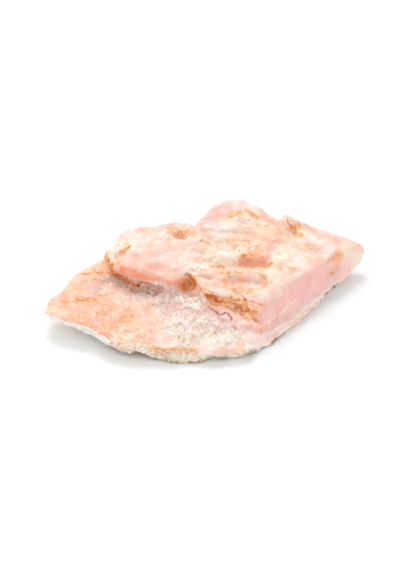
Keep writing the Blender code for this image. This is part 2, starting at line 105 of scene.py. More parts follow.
# %% Lay the skin
WELD = 0.0005
SKIN_VOXEL = 0.274
SKIN_SMOOTHING = 4


def merged_copy(node):
    """A copy of the node's mesh, its loose triangles joined where their corners meet."""
    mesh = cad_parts[node].data.copy()
    shape = bmesh.new()
    shape.from_mesh(mesh)
    bmesh.ops.remove_doubles(shape, verts=shape.verts, dist=WELD * MM)
    shape.to_mesh(mesh)
    shape.free()
    return mesh


def bake_modifiers(thing):
    """Applies the object's modifiers to its mesh."""
    graph = bpy.context.evaluated_depsgraph_get()
    mesh = bpy.data.meshes.new_from_object(thing.evaluated_get(graph), depsgraph=graph)
    thing.modifiers.clear()
    thing.data = mesh
    mesh.name = thing.name


def fine_skin(node, name):
    """The node's shape under an even, smoothed skin, with no material yet."""
    thing = add_object(name, merged_copy(node))
    skin = thing.modifiers.new("skin", "REMESH")
    skin.mode = "VOXEL"
    skin.voxel_size = SKIN_VOXEL * MM
    thing.modifiers.new("smooth", "SMOOTH").iterations = SKIN_SMOOTHING
    bake_modifiers(thing)
    thing.data.materials.clear()
    return thing


stone = fine_skin(STONE_NODE, "opal_stone")
print("skin points:", len(stone.data.vertices), "faces:", len(stone.data.polygons))

# %% [markdown]
# ## The skin as arrays
# Every step asks of each point where it is and which way it faces. Both come out of the mesh as
# arrays, so that numpy can work on all the points at once.

# %% Read the points, their normals and the edges


def read(items, label, width, kind=float):
    """What the items have under that label, one row each."""
    flat = np.empty(len(items) * width, dtype=kind)
    items.foreach_get(label, flat)
    return flat.reshape(-1, width)


edges = read(stone.data.edges, "vertices", 2, int)
points = read(stone.data.vertices, "co", 3) / MM
normals = read(stone.data.vertices, "normal", 3)
print("highest point, mm:", round(points[:, 2].max(), 2))

# %% [markdown]
# ## Crisp edges
# Smoothing has rounded the broken edges too. To bring them back, each point is compared with the
# average of its surroundings. A point that stands out is on an edge and is pushed out further, and
# one that lies deeper is in a crease and is pushed in. At the worn left end it is the other way round.

# %% Sharpen the skin
EDGE_ROUNDS = 14
EDGE_GAIN = 0.9
EDGE_LIMIT = 0.45
WORN_TO_X = (-23.0, -29.0)


def ramp(values, start, finish):
    """0 up to start, 1 from finish on, and a smooth rise between; start may be the larger one."""
    share = np.clip((values - start) / (finish - start), 0.0, 1.0)
    return share * share * (3.0 - 2.0 * share)


def averaged(values, rounds):
    """In each round, every value becomes the mean of its neighbours' values along the edges."""
    first, second = edges.T
    shared = np.bincount(edges.ravel(), minlength=len(values))
    for _ in range(rounds):
        gathered = np.bincount(first, weights=values[second], minlength=len(values))
        gathered += np.bincount(second, weights=values[first], minlength=len(values))
        values = gathered / shared
    return values


def standing_out(places, facing, rounds):
    """How far each point stands out from the average of its surroundings, along its normal."""
    around = np.stack([averaged(places[:, axis], rounds) for axis in range(3)], axis=1)
    return np.einsum("ij,ij->i", places - around, facing)


gain = EDGE_GAIN * (1.0 - 2.0 * ramp(points[:, 0], *WORN_TO_X))
edge_height = np.clip(gain * standing_out(points, normals, EDGE_ROUNDS), -EDGE_LIMIT, EDGE_LIMIT)
points = points + normals * edge_height[:, None]
print("edges raised by up to, mm:", round(float(edge_height.max()), 2))

# %% [markdown]
# ## Noise
# Weathered stone is irregular at every size. Gradient noise is smooth, and layers of it at halving
# sizes look like broken ground. Cell noise divides space into cells around scattered centres, which
# is how chips lie against each other.

# %% Noise functions
LATTICE = 40
GRADIENT_GAIN = 1.6
CENTRE_JITTER = (0.1, 0.9)


def smooth_noise(places, size, seed):
    """Gradient noise, about -1 to 1. A cube lattice holds a random slope at each corner. A point
    takes the height that each of its cell's 8 slopes gives it, blended by 6t^5 - 15t^4 + 10t^3."""
    slopes = np.random.default_rng(seed).normal(size=(LATTICE, LATTICE, LATTICE, 3))
    slopes /= np.linalg.norm(slopes, axis=-1, keepdims=True)
    place = places / np.array(size)
    cell = np.floor(place).astype(int)
    inside = place - cell
    fade = inside**3 * (inside * (inside * 6.0 - 15.0) + 10.0)
    total = np.zeros(len(places))
    for corner in np.ndindex(2, 2, 2):
        at = tuple(((cell + corner) % LATTICE).T)
        height = np.einsum("ij,ij->i", slopes[at], inside - corner)
        total += height * np.prod(np.where(corner, fade, 1.0 - fade), axis=1)
    return total * GRADIENT_GAIN


def layered_noise(places, size, seed, layers=3):
    """Noise at a size, half of it, a quarter of it and so on, each layer half as strong."""
    total = np.zeros(len(places))
    for layer in range(layers):
        total += smooth_noise(places, np.array(size) / 2**layer, seed + layer) / 2**layer
    return total


def cell_noise(places, size, seed):
    """For each point, in cell widths: the way from the nearest cell's centre, and that centre's
    own random direction."""
    rng = np.random.default_rng(seed)
    jitter = rng.uniform(*CENTRE_JITTER, (LATTICE, LATTICE, LATTICE, 3))
    facing = rng.normal(size=(LATTICE, LATTICE, LATTICE, 3))
    place = places / np.array(size)
    home = np.floor(place).astype(int)
    nearest = np.full(len(places), np.inf)
    way = np.zeros(places.shape)
    turn = np.zeros(places.shape)
    for step in np.ndindex(3, 3, 3):
        cell = home + step - 1
        at = tuple((cell % LATTICE).T)
        gap = place - cell - jitter[at]
        far = np.linalg.norm(gap, axis=1)
        closer = far < nearest
        nearest = np.where(closer, far, nearest)
        way[closer] = gap[closer]
        turn[closer] = facing[at][closer]
    return way, turn


print("noise spread:", round(float(smooth_noise(points, 2.0, 1).std()), 2))

# %% [markdown]
# ## Marks
# Stains, pits and cracks have places of their own. Each is a mark: a radius, a strength and a chain
# of points. On top of the stone the points are given in plan, as (x, y), and drop onto the skin. On a
# wall a third number says how high, and the point goes to the nearest skin. So half a millimetre is
# near enough. Noise shakes the skin's points first, to make every edge ragged.

# %% Marks as fields
SHAKE = ((2.6, 0.75, 51), (1.1, 0.4, 61))
MARK_STEP = 1.0
DROP_REACH = 0.4
BROKEN_RANGE = (-0.45, 0.15)


def shaken(places):
    """Each point moved by smooth noise of its own along X, Y and Z."""
    moved = places.copy()
    for size, reach, seed in SHAKE:
        for axis in range(3):
            moved[:, axis] += reach * smooth_noise(places, size, seed + axis)
    return moved


def stepped(line):
    """The chain with points added at even steps, so that it can follow the ground between its own."""
    ends = np.array(line, dtype=float)
    pieces = [ends[:1]]
    for start, end in zip(ends[:-1], ends[1:]):
        count = max(1, math.ceil(np.linalg.norm(end - start) / MARK_STEP))
        pieces.append(start + (end - start) * (np.arange(1, count + 1) / count)[:, None])
    return np.concatenate(pieces)


def laid(line):
    """The chain on the skin: (x, y) takes the highest skin point there, (x, y, z) the nearest one."""
    spots = []
    for spot in stepped(line):
        gap = ((points[:, : len(spot)] - spot) ** 2).sum(axis=1)
        under = np.flatnonzero(gap < DROP_REACH**2) if len(spot) == 2 else []
        spots.append(points[under[points[under, 2].argmax()]] if len(under) else points[gap.argmin()])
    return np.array(spots)


def distance_to(places, line):
    """How far each point is from a chain of straight pieces, whose last one is the end point alone."""
    nearest = np.full(len(places), np.inf)
    for start, end in zip(line, [*line[1:], line[-1]]):
        run = end - start
        along = np.clip((places - start) @ run / max(run @ run, 1e-9), 0.0, 1.0)
        nearest = np.minimum(nearest, np.linalg.norm(places - start - np.outer(along, run), axis=1))
    return nearest


def field_of(marks, places):
    """The strongest of the marks at each point: full inside half its radius, gone at one and a half."""
    field = np.zeros(len(places))
    for radius, strength, line in marks:
        fade = np.clip(1.5 - distance_to(places, laid(line)) / radius, 0.0, 1.0)
        field = np.maximum(field, strength * fade * fade * (3.0 - 2.0 * fade))
    return field


def broken(field, size, seed):
    """The field in pieces: it comes and goes with noise, as a real line or film does."""
    return field * ramp(smooth_noise(points, size, seed), *BROKEN_RANGE)


def means(*fields):
    """The mean of each field, to print."""
    return [round(float(field.mean()), 3) for field in fields]


ragged = shaken(points)
slightly_ragged = points + 0.5 * (ragged - points)
print("edges shaken by up to, mm:", round(float(np.abs(ragged - points).max()), 2))

# %% [markdown]
# ## Where the stone is what
# The stone has a few kinds of ground, told apart by where they lie and how they face: the long clean
# face on the right, the low plate in front, its broken rim, the underside and the back. Each is a
# soft field too.

# %% Kinds of ground
# Each pair is a ramp's start and end, in mm to one side or up, or as a share of facing.
CLEAN_DIRECTION = np.array((0.74, -0.59, 0.33))
CLEAN_FACING = (0.45, 0.8)
CLEAN_EAST = (10.0, 12.0)
CLEAN_SOUTH_OF_EAST = (36.0, -6.0)
PLATE_UP = (7.4, 6.4)
PLATE_FACING = (0.2, 0.6)
PLATE_SOUTH = (-6.0, -2.0)
RIM_FACING = (0.45, 0.1)
RIM_UP = (5.2, 4.2)
RIM_SKEW = 0.2
RIM_SOUTH = (9.0, 12.0)
UNDER_FACING = (-0.2, -0.6)
BEHIND_NORTH = (10.0, 14.0)
BEHIND_FACING = (0.2, 0.6)


def kinds_of_ground(places, facing):
    """Each kind is a product of ramps over where a point lies and which way it faces."""
    east, south, up = places[:, 0], -places[:, 1], places[:, 2]
    clean = ramp(facing @ CLEAN_DIRECTION, *CLEAN_FACING) * ramp(east, *CLEAN_EAST)
    clean = clean * ramp(south - east, *CLEAN_SOUTH_OF_EAST)
    plate = ramp(up, *PLATE_UP) * ramp(facing[:, 2], *PLATE_FACING) * (1.0 - clean)
    plate *= ramp(south, *PLATE_SOUTH)
    rim = ramp(facing[:, 2], *RIM_FACING) * ramp(up, *RIM_UP) * ramp(south - RIM_SKEW * east, *RIM_SOUTH)
    rim *= 1.0 - clean
    under = ramp(facing[:, 2], *UNDER_FACING)
    behind = ramp(-south, *BEHIND_NORTH) * ramp(facing[:, 1], *BEHIND_FACING)
    return {"clean": clean, "plate": plate, "rim": rim, "under": under, "behind": behind}


ground = kinds_of_ground(points, normals)
print("shares of", *ground, "are", means(*ground.values()))

# %% [markdown]
# ## Salmon, rose and peach
# Where the opal broke clean it has its own colours: palest on top, rose on the long face, and salmon
# where light goes through an edge. The weathered plate on the left has a peach skin. The share that
# each mark, noise and ground adds to a field is given.

# %% Colour of the clean stone
SALMON_MARKS = (
    # the slab's wall, and the plate's tip
    (1.3, 1, ((-19.5, 1.5, 8.5), (-17, 0, 8.5), (-14.5, -1.5, 8.5))),
    (0.9, 0.8, ((-13, -2, 8.5), (-9.5, -3, 8), (-6, -3.5, 8))),
    (2.6, 0.4, ((-20, 3.5), (-15, 1), (-9, -1.5))),
    (1, 1, ((-35, -10.5, 4.5), (-30.5, -12.5, 4.5), (-26.5, -15, 4.5), (-22.5, -18.5, 4))),
    # the right tip's recess, the bowl, and the brow over the splinters
    (1.3, 0.6, ((30, 7.5, 7.5), (31.5, 10.5, 7.5))), (1.8, 0.6, ((9.5, 3), (14, 4))),
    (1.2, 0.35, ((9.5, -9.5, 7.5), (12.5, -11, 7))),
)
ROSE_MARKS = (
    # the long clean face
    (3, 1, ((12.5, -13.5, 5), (19, -6.5, 5.5), (26.5, 3, 6))),
    (2.4, 0.6, ((28.5, 5, 5.5), (33, 9.5, 4.5))),
    # the slab's top, the oval on the right, the ridge
    (3.2, 0.45, ((-13.5, 3), (-9, 3))), (2.2, 0.5, ((15, 9), (18, 9))),
    (3, 0.6, ((-0.5, 17.5), (2, 18.5), (4.5, 20))),
    # the plate's smooth end, the flake, the pocket
    (1.8, 0.5, ((8, -17), (10, -15))), (1.4, 0.7, ((0.5, -8.5), (3.5, -10), (8, -13))),
    (1.6, 0.4, ((7.5, -5.5), (12.5, -7.5))),
)
PEACH_MARKS = (
    (7, 1, ((-35, -8), (-30, -6), (-25, -8), (-20, -11))), (4.5, 0.8, ((-26, 3), (-30, 0))),
    (4.5, 0.8, ((-14, -14), (-17, -18))), (5, 0.7, ((4, 4), (10, 8), (14, 14), (19, 13.5))),
    (3.4, 0.5, ((8, -4), (3, -3))), (4, 0.4, ((-6, 10), (-12, 12))),
)
PEACH_PATCHES = ((5.5, 4.0, 4.0), 73)
PEACH_BEHIND = (9.0, 71)

rose = field_of(ROSE_MARKS, ragged)
salmon = field_of(SALMON_MARKS, slightly_ragged)
peach = field_of(PEACH_MARKS, ragged)
peach *= 1.0 - 0.6 * ramp(layered_noise(ragged, *PEACH_PATCHES), 0.0, 0.6)
peach = np.maximum(peach, 0.6 * ground["behind"] * ramp(layered_noise(points, *PEACH_BEHIND), -0.1, 0.5))
print("salmon, rose, peach:", means(salmon, rose, peach))

# %% [markdown]
# ## Lavender matrix
# The middle of the plate shows the host rock: dull, cool and lavender-grey. So do the broken rim, the
# underside and, faintly, the foot of the clean face.

# %% Lavender
LAVENDER_MARKS = (
    (2.4, 0.6, ((-25.5, -2.5), (-20.5, 0.5))),
    (2.6, 0.95, ((-18.5, -2), (-15, -3), (-11, -4), (-6.5, -5), (-2.5, -6))),
    (3.2, 1, ((-8, -8), (-4, -9.5), (0.5, -12.5))), (2.8, 1, ((-2.5, -13), (2, -14.5), (5, -15.5))),
    (2.4, 0.6, ((-7.5, -17), (-1, -17))),
    # the rim's middle and the foot of the clean face
    (1.5, 0.8, ((-9.5, -22.5, 1.5), (-5, -22.5, 1.5))),
    (1.8, 0.5, ((13.5, -14.5, 2.5), (20, -8, 2.5), (27, 1, 3), (30.5, 5, 3.5))),
)
LAVENDER_UNDER = (8.0, 75)

below = ground["under"] * ramp(layered_noise(points, *LAVENDER_UNDER), -0.2, 0.4)
lavender = np.maximum(field_of(LAVENDER_MARKS, ragged), 0.7 * below)
print("lavender:", means(lavender))

# %% [markdown]
# ## Straw and amber
# Iron stains the weathered parts in two strengths. A thin wash is straw yellow. Where it has
# soaked in it is amber, in spots and short streaks: in pits, under edges and along the splinters.

# %% Straw and amber
STRAW_MARKS = (
    # the slab's left end, and the ledges by the notch
    (1.7, 0.8, ((-24, 9), (-21.5, 9.5), (-19, 8))),
    (1, 1, ((-22, 7.5, 8.5), (-22, 5.5, 8.5), (-22, 3.5, 7))),
    (1.2, 0.8, ((-7.5, 1), (-4, 1.5), (-2.5, 1), (4.5, 1))),
    # round the lump
    (2.2, 1, ((0, 5.5), (1.5, 3), (4, 2), (6, 4), (5.5, 7), (1.5, 7))),
    # the pale band on the right, the back, the chip
    (2.2, 0.9, ((21, 11.5), (18, 6.5), (15, 0.5))), (1.8, 0.6, ((17.5, 1.5), (22.5, 6))),
    (2.6, 0.65, ((4.5, 14.5), (9, 15), (14, 13.5))), (2, 0.4, ((6, 9), (12.5, 7.5))),
    (1.7, 0.8, ((18.5, 17.5), (21, 16.5), (21.5, 14.5), (25.5, 12.5))), (2.5, 0.5, ((34, 12), (36, 11))),
    (1.5, 0.5, ((-3, 10.5), (1, 8.5))), (1.6, 0.6, ((7.5, -4), (12, -4))),
    # the plate's tip, back, middle and front rim
    (1.4, 0.7, ((-37, -9), (-33, -10.5))), (1.6, 0.45, ((-33, -1), (-29, 4), (-26, 8))),
    (2.4, 0.4, ((-23, -4), (-17.5, -7.5))), (2, 0.5, ((-20, -17), (-14, -19))),
    (1, 1, ((-21.5, -20, 3.5), (-17, -21, 3.5))),
)
AMBER_MARKS = (
    # the slab's left end and its pit
    (1.6, 0.75, ((-24, 8.5, 7.5), (-23, 6, 7), (-21.5, 4.5, 8))), (0.8, 1, ((-20.5, 6.5), (-19, 7))),
    (0.6, 0.7, ((-21, 3.5), (-20, 2.5))), (1.5, 0.6, ((-8, 11.5), (-4.5, 11))),
    # the bowl and the ground beside it
    (0.55, 1, ((8, 4), (13, 4))), (0.6, 0.7, ((9.5, 3), (12.5, 2.5), (15, 3))),
    (0.5, 0.8, ((10.5, 1.5), (13, 1))), (0.6, 0.9, ((1, 1), (3.5, 0.5))), (0.6, 0.6, ((-1, 9.5), (1, 9))),
    # the notch
    (1.6, 1, ((-5.5, -2, 7), (-3.5, -1.5, 7), (-2.5, -1.5, 8))), (0.5, 1, ((-4, -1, 9), (-2.5, -3, 7.5))),
    # the splinters
    (0.6, 0.8, ((-1, -5, 7.5), (0, -6.5, 7))), (0.9, 1, ((1, -6.5, 7), (1.5, -7, 6.5))),
    (0.7, 0.7, ((3.5, -7, 7.5), (5, -7.5, 7.5))), (0.9, 0.8, ((6, -8, 7), (9, -10, 7))),
    (0.7, 1, ((8.5, -11, 6), (10, -11, 6))), (0.6, 0.9, ((2.5, -8, 6), (4.5, -8, 6))),
    (1.8, 0.55, ((0, -7, 6.5), (5, -9, 6.5), (10, -12, 6))),
    # the front pocket's rim
    (0.6, 0.9, ((12.5, -1.5), (14.5, -5))), (0.5, 0.6, ((3.5, -1.5), (7.5, -1), (11.5, -1.5))),
    # the band behind, the chip, the top on the right
    (1.2, 0.7, ((5, 17), (7.5, 17.5))), (2.2, 0.4, ((8, 8.5), (11.5, 7.5))),
    (1.2, 0.6, ((3.5, -5.5), (10, -7.5))), (0.6, 0.9, ((9.5, 18.5), (12, 17))),
    (0.5, 1, ((19.5, 15), (22, 16))), (0.9, 0.8, ((21, 13.5), (22, 13.5))),
    (1.6, 0.4, ((19, 17.5), (21.5, 15.5))), (1.3, 0.35, ((24, 10.5), (27.5, 9.5))),
    (0.35, 0.7, ((18.5, 2), (20.5, 1))),
    # streaks on the plate
    (0.6, 0.9, ((-29, 2.5), (-26, 3), (-22.5, 3.5))), (0.55, 1, ((-30, -6), (-27, -6.5), (-25, -5))),
    (0.5, 0.8, ((-34, -6.5), (-31.5, -7))), (0.8, 0.5, ((-22.5, -7), (-21, -9))),
    (0.6, 0.8, ((-19.5, -12.5), (-17.5, -12))), (0.6, 0.7, ((-16, -14), (-15, -14))),
    (0.8, 0.5, ((-25, -9), (-23.5, -11))),
    # the rim, the tip's recess, and the face's lip
    (0.8, 0.9, ((-12.5, -22, 3.5), (-9.5, -22, 3.5))), (0.5, 0.8, ((-9, -22, 3.5), (-2.5, -22, 3))),
    (0.9, 0.6, ((29, 6.5, 8), (31.5, 10, 7.5))), (0.8, 0.5, ((29, 5, 5.5), (30.5, 7, 5.5))),
    (0.7, 0.5, ((-33, -11.5, 4.5), (-28, -14, 4.5), (-24, -17, 4.5))),
    (0.5, 0.8, ((12, -15, 3.5), (13.5, -14, 4))),
)
SPREAD = (5.0, 91)
PEACH_STREAKS = ((3.6, 1.5, 1.5), 97)

spread_noise = layered_noise(points, *SPREAD, layers=2)
stained_behind = ground["behind"] * ramp(spread_noise, 0.0, 0.8)
straw = np.maximum(field_of(STRAW_MARKS, ragged), 0.8 * stained_behind)
amber = np.maximum(field_of(AMBER_MARKS, slightly_ragged), 0.4 * stained_behind)
amber = np.maximum(amber, 0.45 * peach * ramp(layered_noise(ragged, *PEACH_STREAKS), 0.3, 0.9))
print("straw, amber:", means(straw, amber))

# %% [markdown]
# ## Crust, chalk, rust and dark
# The crust's marks give a density, which the material turns into lace. Chalk is the whitest of it,
# and one chalk mark is a painted highlight on the rim's right end.
# The clean face has thin pale lips. Rust is a line drawn by water along the foot of a wall or an
# edge, and has soaked deep into a few hollows.
# Painted shade darkens the rim's foot towards the table and the ground under the slab's wall. A few
# cracks and pin holes are nearly black.

# %% Crust, chalk and lips
CRUST_MARKS = (
    # the foot of the wall, and a thin veil over the matrix
    (1.5, 0.45, ((-9.5, -4.5), (-5, -5.5), (-1.5, -7.5))), (0.9, 0.65, ((-4.5, -8), (-1.5, -8.5))),
    (2.8, 0.28, ((-18, -6), (-13, -7), (-9.5, -10))),
    # the thick crust towards the front
    (2.8, 0.45, ((-8, -12.5), (-4, -13.5), (-0.5, -16))),
    (2, 0.62, ((-8, -16), (-6.5, -18.5), (-4.5, -20))), (1.9, 0.68, ((-1, -20), (3, -19.5), (6, -17.5))),
    (1.6, 0.5, ((-4, -17), (1, -17.5))), (1.6, 0.4, ((1, -12.5), (5, -15.5), (8.5, -17.5))),
    # the plate's left, and crumbs under the slab
    (1, 0.22, ((-25.5, -9.5), (-23.5, -10.5), (-27, -12.5))),
    (0.6, 0.5, ((-18, 0, 6), (-13.5, -3, 6.5), (-11.5, -3.5, 6.5))),
    # the front of the rim
    (1.6, 0.8, ((-14.5, -21.5, 2), (-11, -22.5, 1), (-3.5, -23, 0.5))),
    (1.2, 0.65, ((-2, -22.5, 1), (7, -21, 1.5))),
)
CHALK_AND_HIGHLIGHT_MARKS = (
    # the white band under the plate's edge, and a painted highlight on the rim's right end
    (0.7, 0.8, ((-37, -11, 4), (-31, -13, 4))),
    (0.8, 1, ((-30, -13, 3.5), (-26, -16, 3.5), (-22.5, -19.5, 3))),
    (0.6, 1, ((8.5, -20.5, 2), (10.5, -19, 2))),
    # the lump, the pale band, the thickest crust
    (1.4, 0.6, ((3, 4.5), (5, 4))), (1, 0.5, ((17.5, 5.5), (18, 4))), (1.1, 0.7, ((-1, -20), (4.5, -19))),
    (0.9, 0.7, ((-7.5, -17.5), (-6, -16.5))), (0.6, 0.7, ((-4.5, -8), (-2.5, -8))),
)
LIP_MARKS = (
    (0.30, 0.8, ((12, -15, 4), (15.5, -11.5, 4.5), (18, -8, 5), (20, -5.5, 5))),
    (0.35, 0.8, ((11, -17, 2.5), (15.5, -12.5, 2), (20, -8, 2), (26.5, 0, 2.5))),
    (0.35, 0.7, ((28.5, 2, 2.5), (31, 5.5, 3), (34, 9, 3.5))),
)
RIM_CRUST = 0.5
RIM_CRUST_FROM_X = (-24.0, -18.0)
WHITE_RIM_TO_X = (-20.0, -23.0)
WHITE_RIM_FACING = (0.75, 0.45)
WHITE_RIM_UP = (5.2, 4.6)
WHITE_RIM_SOUTH = (6.0, 9.0)

clear_stone = np.maximum.reduce([ground["clean"], 0.9 * salmon, 0.6 * rose])
crust = field_of(CRUST_MARKS, ragged)
crust = np.maximum(crust, RIM_CRUST * ground["rim"] * ramp(points[:, 0], *RIM_CRUST_FROM_X))
crust = np.maximum(crust, 0.5 * ground["under"] * ramp(spread_noise, -0.5, 0.4))
white_rim = ramp(points[:, 0], *WHITE_RIM_TO_X) * ramp(normals[:, 2], *WHITE_RIM_FACING)
white_rim *= ramp(points[:, 2], *WHITE_RIM_UP)
white_rim *= ramp(-points[:, 1], *WHITE_RIM_SOUTH)
chalk_and_highlight = np.maximum(field_of(CHALK_AND_HIGHLIGHT_MARKS, ragged), white_rim)
lips = field_of(LIP_MARKS, slightly_ragged)
print("crust, chalk, lips:", means(crust, chalk_and_highlight, lips))

# %% Rust, flecks, painted shade and dark
RUST_MARKS = (
    # the slab's end, and the foot of its wall
    (0.5, 0.4, ((-24, 7.5, 8), (-23, 6, 7), (-22.5, 4, 6.5))),
    (0.6, 1, ((-22, 3.5, 6.5), (-20, 2, 6), (-17, -0.5, 6))),
    (0.5, 0.8, ((-16.5, -1, 6.5), (-13.5, -2.5, 6.5), (-10.5, -3.5, 6.5))),
    (0.5, 0.8, ((-25.5, 3), (-22.5, 3.5))),
    # the notch
    (0.6, 1, ((-5.5, -2, 6), (-3, -2, 6))), (0.35, 1, ((-4.5, -0.5, 9), (-3, -2.5, 7.5))),
    # the splinters
    (0.4, 1, ((-1.5, -5, 7.5), (0, -6.5, 7), (2, -7.5, 6.5), (4.5, -8, 6.5))),
    (0.3, 0.8, ((6, -7.5, 7.5), (8.5, -9, 7.5), (9.5, -10, 7))),
    (0.3, 0.8, ((5.5, -11, 5.5), (9, -12.5, 5.5), (12, -14, 5))),
    (0.4, 0.9, ((8.5, -10.5, 6), (10, -10.5, 6))), (0.25, 0.7, ((9.5, -9.5, 7.5), (13, -11, 7))),
    # short cracks on the plate, the chip, the pocket and the notch
    (0.4, 0.9, ((6, -15), (6, -16))), (0.3, 0.8, ((18, 17.5), (19.5, 15.5), (20.5, 15.5))),
    (0.25, 0.7, ((6.5, -1), (8.5, -1))), (0.3, 0.6, ((-1, 0), (2, 0))),
    # short strokes on the plate
    (0.3, 0.75, ((-30, -6.5), (-27, -7), (-25.5, -6))), (0.3, 0.65, ((-34, -6.5), (-32, -7))),
    (0.3, 0.7, ((-29, 2.5), (-26.5, 3))), (0.3, 0.65, ((-19.5, -12.5), (-17.5, -12))),
    (0.25, 0.6, ((-27.5, -9), (-26, -8.5))),
    # the tip's recess, and the face's upper lip
    (0.3, 0.6, ((29, 6.5, 8), (31.5, 10, 7.5))), (0.3, 0.5, ((14.5, -12, 4), (17, -9, 4.5))),
)
DEEP_RUST_MARKS = (
    # the notch, the first splinters, the wall's left foot
    (1, 0.7, ((-5, -2, 7), (-3, -2, 7.5))), (0.7, 0.8, ((0.5, -6.5, 7), (2, -7.5, 6.5))),
    (0.9, 0.6, ((-22, 3.5, 6.5), (-20, 2, 6), (-17, -0.5, 6))),
)
# Painted shade under the slab's overhanging wall and on the ground at its foot.
FOOT_SHADE_MARKS = (
    (1.6, 0.65, ((-22, 2, 6), (-17.5, -1.5, 6), (-12, -4, 6))),
    (2, 0.5, ((-24.5, 1.5, 6), (-21, 0.5, 6))), (2.8, 0.35, ((-17, -4.5), (-11, -6.5))),
    (0.8, 0.25, ((-14.5, -2, 7), (-11, -3.5, 7))),
)
CRACK_MARKS = (
    # beside the flake, and at the notch and the wall's foot
    (0.22, 0.9, ((0, -9), (2.5, -11.5), (4, -11.5), (5.5, -13.5))),
    (0.3, 0.8, ((-4.5, -0.5, 9), (-3.5, -1.5, 8), (-3, -2.5, 7))),
    (0.5, 1, ((-14.5, -2.5, 6.5), (-13.5, -2.5, 6.5))), (0.5, 1, ((-16.5, -0.5, 6), (-16, -1, 6))),
    (0.22, 0.8, ((-14.5, -3, 6), (-13, -4, 5.5), (-12, -5, 5.5))),
)
# Painted contact shadow where the long face meets the table, with some dark matrix in it.
CONTACT_SHADOW_AND_DARK_MATRIX = (
    (0.5, 1, ((26.5, -0.5, 2), (28, 1.5, 2), (30.5, 5, 2))),
    (0.5, 0.9, ((14.5, -15.5, 0.5), (17.5, -11, 0.5))),
)
PIN_HOLES = (
    (-13.5, 8), (-1, 0), (2, 9), (5.5, -2.5), (16.5, 4.5),
    (23.5, 13.5), (28.5, 13.5), (28.5, 9), (29.5, 15.5), (-10.5, -12.5),
)
PIN_HOLE_RADIUS = 0.24
PIN_HOLE_STRENGTH = 0.7
RUST_BREAKS = (1.3, 193)
CRACK_BREAKS = (1.1, 195)
FOOT_SHADE_UP = (2.8, 0.4)

rust = broken(field_of(RUST_MARKS, slightly_ragged), *RUST_BREAKS)
cracks = field_of(CRACK_MARKS, slightly_ragged)
pins = field_of([(PIN_HOLE_RADIUS, PIN_HOLE_STRENGTH, (spot,)) for spot in PIN_HOLES], slightly_ragged)
# dark holds broken cracks, pin holes, and the painted contact shadow with dark matrix.
dark = np.maximum.reduce([0.6 * broken(cracks, *CRACK_BREAKS), pins, field_of(CONTACT_SHADOW_AND_DARK_MATRIX, ragged)])
rust = np.maximum.reduce([rust, cracks, field_of(DEEP_RUST_MARKS, ragged)])
flecks = ground["plate"] * (0.16 + 0.28 * peach) * ramp(spread_noise, -0.5, 0.6)
flecks = np.maximum.reduce([flecks, 0.20 * straw, 0.60 * amber]) * (1.0 - crust) * (1.0 - chalk_and_highlight)
# Painted shade on the rim, darker towards the table.
foot_shade = ground["rim"] * ramp(points[:, 2], *FOOT_SHADE_UP) * ramp(spread_noise, -1.0, 0.4)
foot_shade = np.maximum(foot_shade, field_of(FOOT_SHADE_MARKS, ragged))
print("rust, flecks, grime, dark:", means(rust, flecks, foot_shade, dark))

# %% [markdown]
# ## The ground's own texture
# Broken stone is crumbly, drawn out into splinters along the right block's front and into streaks on
# its top. The plate's rim is a stack of thin beds with ochre lines between them.

# %% Texture of the ground
SPLINTER_ZONE = ((1.9, 1, ((-1.5, -5.5, 7), (2, -7, 6.5), (5.5, -9, 6.5), (10.5, -12.5, 6))),)
STREAK_ZONE = (
    (5, 1, ((-2, 14), (6, 14), (14, 14))), (4, 0.8, ((4, 8), (12, 7))), (3, 0.8, ((2, -3), (12, -4))),
)
SPLINTER_TURN = -32.0
STREAK_TURN = -8.0
CRUMBLY = ((1.9, 1.5, 1.2), 81)
SPLINTERS = ((6.5, 0.9, 0.8), 84)
STREAKS = ((5.5, 1.5, 1.2), 87)
BED_SLOPE = 0.045
BED_THICKNESS = 0.6
BED_WAVER = 0.5
BED_WANDER = ((6.0, 6.0, 2.0), 94)


def turned(places, degrees):
    """The points in a frame turned about Z, so that noise can be drawn out along that direction."""
    angle = math.radians(degrees)
    east = places[:, 0] * math.cos(angle) + places[:, 1] * math.sin(angle)
    north = places[:, 1] * math.cos(angle) - places[:, 0] * math.sin(angle)
    return np.stack([east, north, places[:, 2]], axis=1)


def beds(places):
    """A wave in height, one cycle a bed, whose phase wanders: (z + slope x) / thickness + noise."""
    phase = (places[:, 2] + BED_SLOPE * places[:, 0]) / BED_THICKNESS
    return np.cos(2.0 * math.pi * (phase + BED_WAVER * layered_noise(places, *BED_WANDER)))


def by_ground(base, splinters, streaks, rim):
    """The base value, blended towards another one in each of the three special grounds."""
    for share, value in ((splintered, splinters), (streaked, streaks), (ground["rim"], rim)):
        base = base * (1.0 - share) + value * share
    return base


splintered = field_of(SPLINTER_ZONE, ragged)
streaked = field_of(STREAK_ZONE, ragged)
bedding = beds(points)
splinter_noise = layered_noise(turned(ragged, SPLINTER_TURN), *SPLINTERS)
streak_noise = layered_noise(turned(ragged, STREAK_TURN), *STREAKS)
texture = by_ground(layered_noise(ragged, *CRUMBLY), splinter_noise, streak_noise, bedding)
amber = np.maximum(amber, 0.9 * splintered * ramp(splinter_noise, 0.4, -0.3))
flecks = np.maximum(flecks, 0.75 * splintered * ramp(splinter_noise, 0.1, -0.4))
rust = np.maximum(rust, 0.9 * splintered * ramp(splinter_noise, -0.35, -0.9))
ochre = ground["rim"] * ramp(bedding, 0.0, -0.8) * ramp(spread_noise, -0.8, 0.3) * (1.0 - 0.8 * white_rim)
print("texture spread:", round(float(texture.std()), 2))

# %% [markdown]
# ## The broken relief
# The height of each point adds up from chips, which are cells that each tilt their own way, the
# texture and the crust's thickness. Rust lines, cracks and pin holes are grooves, and the lips stand
# out, so the marks that colour them shape them. The clean face has only the faint ripples of a
# conchoidal break. The points move along their normals, none below the table.

